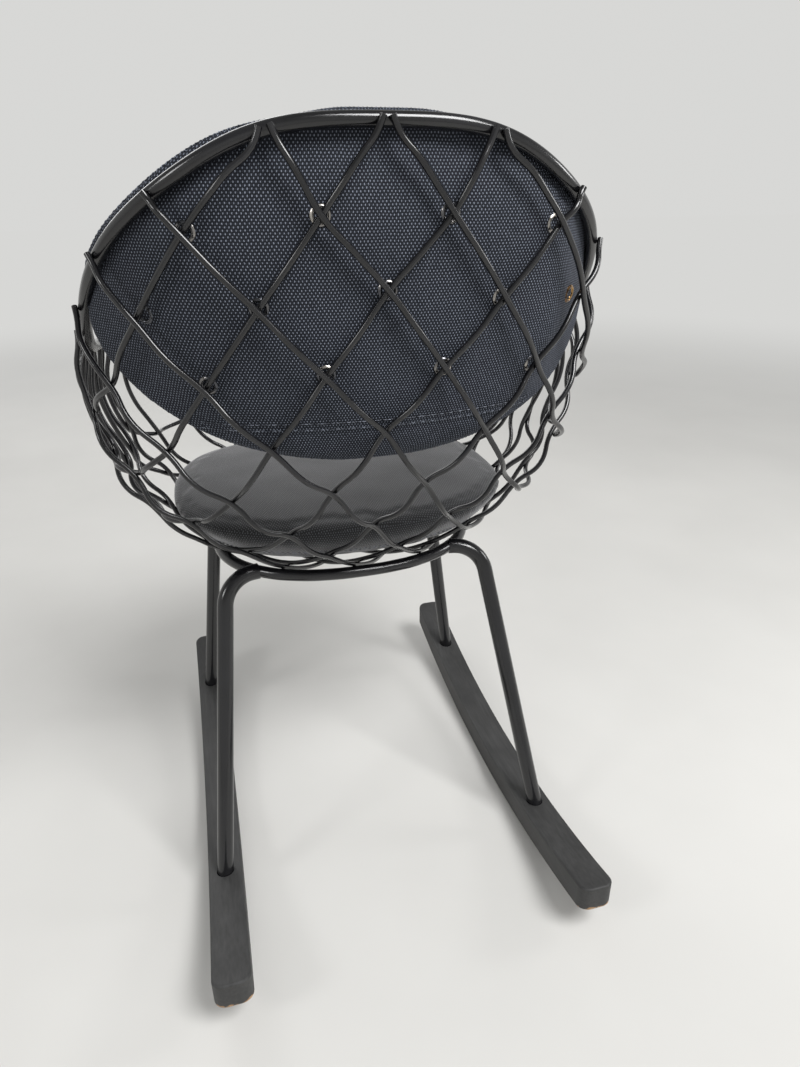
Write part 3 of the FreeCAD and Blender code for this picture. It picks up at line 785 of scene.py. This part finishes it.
@dataclass
class BackCushion(Cushion):
    """Oval back pad: a zip placket with two rows of topstitch behind, and an overlocked edge seam."""

    wrap_y: float = -0.03
    wrap_radius: float = 0.215
    probe_y: float = 0.5
    rear_from_y: float = 0.1
    placket_z: float = 0.580
    placket_half: float = 0.160
    crease: float = 0.0016
    crease_half: float = 0.006
    crease_fade: float = 0.02
    flap_drop: float = 0.004
    flap_height: float = 0.012
    flap_stand: float = 0.0002
    flap_gape: float = 0.0007
    flap_wall: float = 0.0008
    flap_bevel: float = 0.0002
    row_drop: float = 0.0015
    row_gap: float = 0.0065
    stitch_length: float = 0.0034
    stitch_pitch: float = 0.0046
    stitch_stand: float = 0.0013
    thread_radius: float = 0.00042
    centre_y: float = 0.12
    centre_z: float = 0.679
    outline_half: tuple[float, float] = (0.249, 0.147)
    outline_window: float = 0.035
    outline_best: int = 12
    outline_rounds: int = 6
    edge_radius: float = 0.0017
    edge_count: int = 150
    edge_lean: float = 0.2
    edge_sink: float = 0.0003
    edge_wrap: float = 0.19
    loop_length: float = 0.0036
    loop_radius: float = 0.00045
    seats: list[tuple[Vector, Vector]] = field(default_factory=list)
    dimple: float = 0.0016
    dimple_reach: float = 0.016

    def shape(self) -> None:
        """Press in the placket line and a hollow round each eyelet."""
        super().shape()
        co = coordinates(self.obj)
        rear = co[:, 1] > self.rear_from_y
        line = np.exp(-((co[:, 2] - self.placket_z) / self.crease_half) ** 2)
        inside = (self.placket_half + self.crease_fade - np.abs(co[:, 0])) / self.crease_fade
        co[:, 1] -= np.where(rear, self.crease * line * np.clip(inside, 0.0, 1.0), 0.0)
        for centre, axis in self.seats:
            away = np.linalg.norm(co - np.array(centre), axis=1)
            co -= np.outer(self.dimple * np.exp(-(away / self.dimple_reach) ** 2), np.array(axis))
        set_coordinates(self.obj, co)

    def sew(self) -> None:
        """Add the placket flap, its stitches and the edge seam."""
        self._placket()
        self._edge()

    def _rear(self, x: float, z: float) -> tuple[np.ndarray, np.ndarray]:
        """Place and normal on the rear of the pad at a width and height."""
        return self.cloth_point((x, self.probe_y, z), (0, -1, 0))

    def _placket(self) -> None:
        """Make the folded flap over the zip and its two rows of stitches."""
        bpy.ops.object.select_all(action="DESELECT")
        bpy.ops.mesh.primitive_grid_add(x_subdivisions=72, y_subdivisions=4, size=1.0)
        flap = bpy.context.object
        flap.name = "back_cushion_placket"
        co = coordinates(flap)
        for row in co:
            x = row[0] * 2 * self.placket_half
            fold = row[1] + 0.5
            place, normal = self._rear(x, self.placket_z - self.flap_drop + self.flap_height * fold)
            row[:] = place + normal * (self.flap_stand + self.flap_gape * (1.0 - fold))
        set_coordinates(flap, co)
        apply_modifier(flap, "SOLIDIFY", thickness=self.flap_wall, offset=1.0)
        apply_modifier(flap, "BEVEL", width=self.flap_bevel, segments=2)
        write_weave(flap, self.wrapped(corners(flap)))
        settle(flap, self.body, self.canvas)
        for number, lift in enumerate((0.0, self.row_gap)):
            count = int(2 * self.placket_half / self.stitch_pitch)
            xs = np.linspace(-self.placket_half, self.placket_half, count)
            hits = [self._rear(x, self.placket_z - self.row_drop + lift) for x in xs]
            places = np.array([p + n * self.stitch_stand for p, n in hits])
            normals = np.array([n for _, n in hits])
            row = stitches(f"back_cushion_topstitch_{number + 1}", places, np.gradient(places, axis=0),
                           normals, self.stitch_length, self.thread_radius)
            settle(row, self.body, self.thread)

    def _outline(self) -> np.ndarray:
        """Find the edge of the pad, as it shows from behind.

        Returns:
            Rows of places round the edge.
        """
        co = coordinates(self.obj)
        turn = np.arctan2(co[:, 2] - self.centre_z, co[:, 0])
        reach = np.hypot(co[:, 0] / self.outline_half[0], (co[:, 2] - self.centre_z) / self.outline_half[1])
        rows = []
        for k in range(self.edge_count):
            angle = 2 * math.pi * k / self.edge_count - math.pi
            near = np.abs(np.angle(np.exp(1j * (turn - angle)))) < self.outline_window
            best = np.where(near)[0][np.argsort(-reach[near])[:self.outline_best]]
            rows.append(co[best].mean(axis=0))
        rows = np.array(rows)
        for _ in range(self.outline_rounds):
            rows = 0.25 * np.roll(rows, 1, axis=0) + 0.5 * rows + 0.25 * np.roll(rows, -1, axis=0)
        return rows

    def _edge(self) -> None:
        """Make the overlocked edge: a thin roll of cloth with thread looped over it."""
        rows = self._outline()
        out = rows - np.array([0.0, self.centre_y, self.centre_z])
        out[:, 1] *= self.edge_lean
        out /= np.linalg.norm(out, axis=1, keepdims=True)
        rows = rows - out * self.edge_sink
        roll = tube("back_cushion_edge_seam", rows, self.edge_radius, True)
        places = corners(roll)
        turn = np.arctan2(places[:, 2] - self.centre_z, places[:, 0])
        write_weave(roll, np.stack([turn * self.edge_wrap, places[:, 1]], axis=1))
        settle(roll, self.body, self.canvas)
        fine = np.vstack([rows + (np.roll(rows, -1, axis=0) - rows) * s for s in (0.0, 0.5)])
        outward = np.vstack([out, out])
        run = np.vstack([np.roll(rows, -1, axis=0) - rows] * 2)
        across = np.cross(outward, run) + 0.5 * run
        loops = stitches("back_cushion_overlock", fine + outward * self.edge_radius, across, outward,
                         self.loop_length, self.loop_radius)
        settle(loops, self.body, self.thread)


@dataclass
class SeatCushion(Cushion):
    """Loose round seat pad with a seam that runs just above the lower edge of its side."""

    wrap_y: float = -0.09
    wrap_radius: float = 0.19
    probe: float = 0.6
    seam_z: float = 0.402
    seam_count: int = 180
    row_gap: float = 0.004
    stitch_stand: float = 0.0003
    stitch_length: float = 0.0036
    thread_radius: float = 0.00042

    def sew(self) -> None:
        """Add the stitched seam round the side."""
        for number, lift in enumerate((0.0, self.row_gap)):
            rows, normals = [], []
            for k in range(self.seam_count):
                angle = 2 * math.pi * k / self.seam_count
                way = (math.cos(angle), math.sin(angle), 0.0)
                origin = (self.probe * way[0], self.wrap_y + self.probe * way[1], self.seam_z + lift)
                place, normal = self.cloth_point(origin, (-way[0], -way[1], 0.0))
                rows.append(place)
                normals.append(normal)
            places, outward = np.array(rows), np.array(normals)
            run = np.roll(places, -1, axis=0) - np.roll(places, 1, axis=0)
            row = stitches(f"seat_cushion_seam_{number + 1}", places + outward * self.stitch_stand, run,
                           outward, self.stitch_length, self.thread_radius)
            settle(row, self.body, self.thread)


@dataclass
class Eyelets:
    """Rolled metal eyelets set in the rear of the back cushion, one behind each upper weld."""

    metal: bpy.types.Material
    worn: bpy.types.Material
    node: str = "back_cushion_eyelets"
    radius: float = 0.0085
    hole: float = 0.0052
    height: float = 0.0016
    stand: float = 0.0009
    foot: float = 0.0002
    wall: float = 0.0003
    roundness: float = 0.6
    lean: float = 0.25
    corner_count: int = 40
    probe: float = 0.03

    def build(self, cushion: Cushion, seats: Sequence[tuple[Vector, Vector]]) -> None:
        """Model an eyelet at each seat, flat on the cloth; the outermost at the right has lost its plating.

        Args:
            cushion: The finished back cushion.
            seats: Centre and axis of each eyelet.
        """
        rubbed = min(seats, key=lambda seat: seat[0].x)
        for number, (centre, axis) in enumerate(seats):
            obj = self._model(f"eyelet_{number + 1:02d}")
            place, _ = cushion.cloth_point(centre + axis * self.probe, -axis)
            turn = Vector((0, 0, 1)).rotation_difference(axis).to_matrix().to_4x4()
            obj.data.transform(Matrix.Translation(Vector(place) + axis * self.stand) @ turn)
            settle(obj, Body.FRAME, self.worn if centre is rubbed[0] else self.metal)
            if number == 0:
                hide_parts(self.node)

    def _model(self, name: str) -> bpy.types.Object:
        """Model an eyelet about the origin, facing +Z.

        Args:
            name: Name of the piece.

        Returns:
            A mesh object.
        """
        bpy.ops.object.select_all(action="DESELECT")
        bpy.ops.mesh.primitive_circle_add(vertices=self.corner_count, radius=self.radius, fill_type="NGON")
        obj = bpy.context.object
        obj.name = name
        bpy.ops.object.mode_set(mode="EDIT")
        bpy.ops.mesh.select_all(action="SELECT")
        bpy.ops.mesh.inset(thickness=self.radius - self.hole, depth=0)
        bpy.ops.mesh.delete(type="FACE")
        bpy.ops.mesh.select_all(action="SELECT")
        bpy.ops.mesh.normals_make_consistent(inside=False)
        bpy.ops.object.mode_set(mode="OBJECT")
        apply_modifier(obj, "SUBSURF", subdivision_type="SIMPLE", levels=2, render_levels=2)
        co = coordinates(obj)
        spread = (np.hypot(co[:, 0], co[:, 1]) - self.hole) / (self.radius - self.hole)
        dome = np.sin(math.pi * np.clip(spread, 0, 1)) ** self.roundness
        co[:, 2] = self.foot + self.height * dome * (1.0 - self.lean * spread)
        set_coordinates(obj, co)
        apply_modifier(obj, "SOLIDIFY", thickness=self.wall, offset=-1.0)
        return obj

    def seats(self) -> list[tuple[Vector, Vector]]:
        """Find the eyelets from the rings of the solids that they replace.

        Returns:
            Centre and outward axis of each eyelet.
        """
        obj = bpy.data.objects.new("rings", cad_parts[self.node].data.copy())
        bpy.context.scene.collection.objects.link(obj)
        only(obj)
        bpy.ops.object.mode_set(mode="EDIT")
        bpy.ops.mesh.select_all(action="SELECT")
        bpy.ops.mesh.remove_doubles(threshold=MERGE)
        bpy.ops.mesh.separate(type="LOOSE")
        bpy.ops.object.mode_set(mode="OBJECT")
        seats = []
        for ring in list(bpy.context.selected_objects):
            co = coordinates(ring)
            middle = co.mean(axis=0)
            _, _, axes = np.linalg.svd(co - middle)
            axis = axes[2] if axes[2][1] > 0 else -axes[2]
            seats.append((Vector(middle - axis * 0.5 * self.height), Vector(axis)))
            bpy.data.objects.remove(ring)
        return seats


@dataclass
class MetalAndWood:
    """The welded basket, the legs with their fixings, and the rockers: CAD shapes with their finishes."""

    steel: bpy.types.Material
    beech: bpy.types.Material
    plug: bpy.types.Material
    screw: bpy.types.Material

    def dress(self) -> None:
        """Give each rigid node its finish."""
        for name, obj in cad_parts.items():
            if name.startswith("rocker"):
                dress(obj, self.beech)
            elif name == "leg_plugs":
                dress(obj, self.plug)
            elif name == "leg_screws":
                dress(obj, self.screw)
            elif "cushion" not in name:
                dress(obj, self.steel)
            LOG.info("dressed %s", name)


@dataclass(frozen=True)
class Lamp:
    """A square area lamp: where it hangs, its side length in metres and its power in watts."""

    name: str
    place: tuple[float, float, float]
    size: float
    power: float


@dataclass
class Studio:
    """Pale floor, soft light and the camera at the photograph's angle."""

    camera_place: tuple[float, float, float] = (0.1572, 0.7982, 0.7810)
    right: tuple[float, float, float] = (-0.9640, 0.2660, -0.0069)
    up: tuple[float, float, float] = (-0.1215, -0.4170, 0.9009)
    lens_mm: float = 24.68
    sensor_mm: float = 36.0
    floor_size: float = 30.0
    floor_dark: str = "#d3d2cf"
    floor_pale: str = "#d9d8d5"
    floor_roughness: float = 0.7
    cloud_mm: float = 333.3
    far_tone: str = "#d7d7d5"
    fade: tuple[float, float] = (1.1, 4.5)
    sky_tone: str = "#eeeeec"
    sky_rise: tuple[float, float] = (0.18, 0.6)
    sky_strength: tuple[float, float] = (0.8, 0.32)
    aim: tuple[float, float, float] = (0.0, 0.0, 0.5)
    lamps: tuple[Lamp, ...] = (
        Lamp("key", (-0.9, 1.5, 2.5), 1.1, 70.0),
        Lamp("fill", (2.2, 0.9, 1.8), 0.6, 11.0),
        Lamp("side", (-2.3, 0.2, 1.3), 0.5, 8.0),
        Lamp("front", (0.6, -2.4, 1.9), 1.8, 22.0),
    )

    def build(self) -> None:
        """Set up the floor, world, lamps and camera."""
        self._floor()
        self._world()
        for lamp in self.lamps:
            self._hang(lamp)
        self._camera()
        bpy.context.scene.view_settings.view_transform = "Standard"

    def _floor(self) -> None:
        """Lay a wide floor under the rockers."""
        bpy.ops.object.select_all(action="DESELECT")
        bpy.ops.mesh.primitive_plane_add(size=self.floor_size)
        floor = bpy.context.object
        floor.name = "floor"
        material, tree, shader = new_material("pale matte floor")
        place = add(tree, "ShaderNodeTexCoord").outputs["Object"]
        cloud = add(tree, "ShaderNodeTexNoise", {"Scale": 1 / (self.cloud_mm * MM), "Detail": 4.0},
                    {"Vector": place})
        tone = add(tree, "ShaderNodeValToRGB", links={"Fac": cloud.outputs["Fac"]},
                   stops=[(0.3, self.floor_dark), (0.7, self.floor_pale)])
        tree.links.new(tone.outputs["Color"], shader.inputs["Base Color"])
        shader.inputs["Roughness"].default_value = self.floor_roughness
        # Far from the chair the floor fades into the tone of the backdrop
        reach = add(tree, "ShaderNodeVectorMath", links={0: place}, operation="LENGTH")
        far = add(tree, "ShaderNodeMapRange", {"From Min": self.fade[0], "From Max": self.fade[1]},
                  {"Value": reach.outputs["Value"]}, interpolation_type="SMOOTHSTEP")
        glow = add(tree, "ShaderNodeEmission", {"Color": linear(self.far_tone)})
        blend = add(tree, "ShaderNodeMixShader", links={0: far.outputs["Result"], 1: shader.outputs["BSDF"],
                                                        2: glow.outputs["Emission"]})
        output = next(n for n in tree.nodes if n.bl_idname == "ShaderNodeOutputMaterial")
        tree.links.new(blend.outputs["Shader"], output.inputs["Surface"])
        dress(floor, material)

    def _world(self) -> None:
        """Light the scene with a sky that is pale at the horizon and darker above."""
        world = bpy.data.worlds.new("studio")
        bpy.context.scene.world = world
        world.use_nodes = True
        tree = world.node_tree
        tree.nodes.clear()
        way = add(tree, "ShaderNodeTexCoord").outputs["Generated"]
        rise = add(tree, "ShaderNodeSeparateXYZ", links={"Vector": way})
        strength = add(tree, "ShaderNodeMapRange",
                       {"From Min": self.sky_rise[0], "From Max": self.sky_rise[1],
                        "To Min": self.sky_strength[0], "To Max": self.sky_strength[1]},
                       {"Value": rise.outputs["Z"]})
        sky = add(tree, "ShaderNodeBackground", {"Color": linear(self.sky_tone)},
                  {"Strength": strength.outputs["Result"]})
        add(tree, "ShaderNodeOutputWorld", links={"Surface": sky.outputs["Background"]})

    def _hang(self, lamp: Lamp) -> None:
        """Hang a lamp that faces the chair.

        Args:
            lamp: Its place, size and power.
        """
        data = bpy.data.lights.new(lamp.name, "AREA")
        data.size = lamp.size
        data.energy = lamp.power
        obj = bpy.data.objects.new(lamp.name, data)
        bpy.context.scene.collection.objects.link(obj)
        obj.location = lamp.place
        look = Vector(self.aim) - Vector(lamp.place)
        obj.rotation_euler = look.to_track_quat("-Z", "Y").to_euler()

    def _camera(self) -> None:
        """Set the camera where the photograph was taken from."""
        data = bpy.data.cameras.new("camera")
        data.lens = self.lens_mm
        data.sensor_width = self.sensor_mm
        camera = bpy.data.objects.new("camera", data)
        bpy.context.scene.collection.objects.link(camera)
        right, up = Vector(self.right).normalized(), Vector(self.up).normalized()
        back = right.cross(up)
        turn = Matrix((right, up, back)).transposed().to_4x4()
        camera.matrix_world = Matrix.Translation(self.camera_place) @ turn
        bpy.context.scene.camera = camera


def main() -> None:
    """Build the chair's looks in order."""
    logging.basicConfig(level=logging.INFO, format="%(message)s")
    thread = SewingThread().material()
    MetalAndWood(
        steel=PowderCoatedSteel().material(),
        beech=PaintedBeech().material(),
        plug=TurnedSteel("turned steel", "#a8a8aa").material(),
        screw=TurnedSteel("black-oxide steel", "#2c2c2e").material(),
    ).dress()
    eyelets = Eyelets(
        metal=GunmetalPlate().material(),
        # The pale stop of the brass eyelet is a painted glint as well
        worn=GunmetalPlate(name="rubbed brass", dark="#6b5236", rubbed="#c09a66").material(),
    )
    seats = eyelets.seats()
    back = BackCushion(
        name="back_cushion",
        foam_node="back_cushion_foam",
        replaced=("back_cushion_cover", "back_cushion_foam", "back_cushion_zip"),
        body=Body.FRAME,
        slot="back_canvas",
        layout=Layout.WRAPPED_BACK,
        canvas=PanamaCanvas().material(),
        thread=thread,
        seats=seats,
    )
    back.build()
    eyelets.build(back, seats)
    SeatCushion(
        name="seat_cushion",
        foam_node="seat_cushion_foam",
        replaced=("seat_cushion_cover", "seat_cushion_foam"),
        body=Body.SEAT_CUSHION,
        slot="seat_canvas",
        layout=Layout.ROUND_SEAT,
        # The seat gets a grey copy of the back's canvas, coloured for the light that grazes its top: painted
        # light and painted sheen
        canvas=PanamaCanvas(name="woven panama canvas, grey_painted_grazing_light", gap_shade="#08090a", thread="#1d1e20",
                            glint="#505155", sheen=0.95, sheen_tint="#d4d4d6").material(),
        thread=thread,
    ).build()
    Studio().build()


if __name__ == "__main__":
    main()
